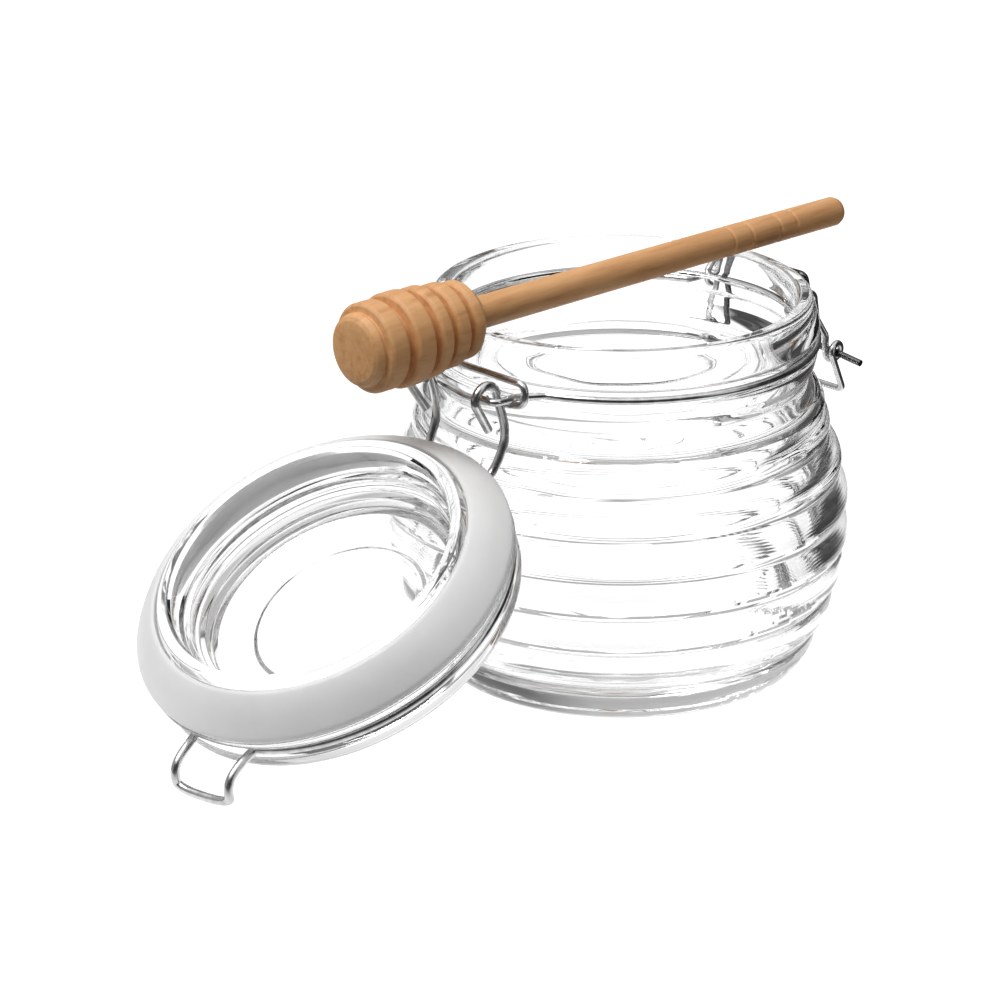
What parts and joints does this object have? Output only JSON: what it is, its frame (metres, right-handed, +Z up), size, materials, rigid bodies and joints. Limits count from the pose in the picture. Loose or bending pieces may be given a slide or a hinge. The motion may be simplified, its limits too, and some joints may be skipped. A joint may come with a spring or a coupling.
{
  "type": "honey jar",
  "caption": "Clip-top ribbed glass honey jar with its lid open, wire hinge and latch, silicone gasket and a wooden dipper across the mouth.",
  "frame": {"origin": "centre of the jar's flat base, on the surface it stands on", "axes": "+Z up along the jar's axis, +X from the lid's hinge towards the latch, +Y along the hinge's pins"},
  "size_m": [0.2209, 0.1132, 0.1098],
  "materials": {
    "clear_glass": "clear, polished",
    "clear_silicone": "smooth, milky",
    "steel_wire": "bright drawn wire",
    "beech_wood": "bare, fine grain"
  },
  "bodies": {
    "jar": {"jar_glass": "clear_glass", "neck_wire": "steel_wire", "hinge_link": "steel_wire", "dipper": "beech_wood"},
    "lid": {"lid_glass": "clear_glass", "gasket": "clear_silicone", "lid_wire": "steel_wire"},
    "lever": {"latch_lever": "steel_wire"},
    "bail": {"latch_bail": "steel_wire"}
  },
  "joints": [
    {"name": "lid_hinge", "type": "hinge", "parent": "jar", "child": "lid", "pos_m": [-0.0572, 0, 0.0832], "axis": [0, 1, 0], "range_deg": [0, 40]},
    {"name": "lever_hinge", "type": "hinge", "parent": "jar", "child": "lever", "pos_m": [0.0512, 0, 0.0828], "axis": [0, -1, 0], "range_deg": [-8, 40]},
    {"name": "bail_hinge", "type": "hinge", "parent": "lever", "child": "bail", "pos_m": [0.0564, 0, 0.0695], "axis": [0, 1, 0], "range_deg": [0, 150]}
  ]
}
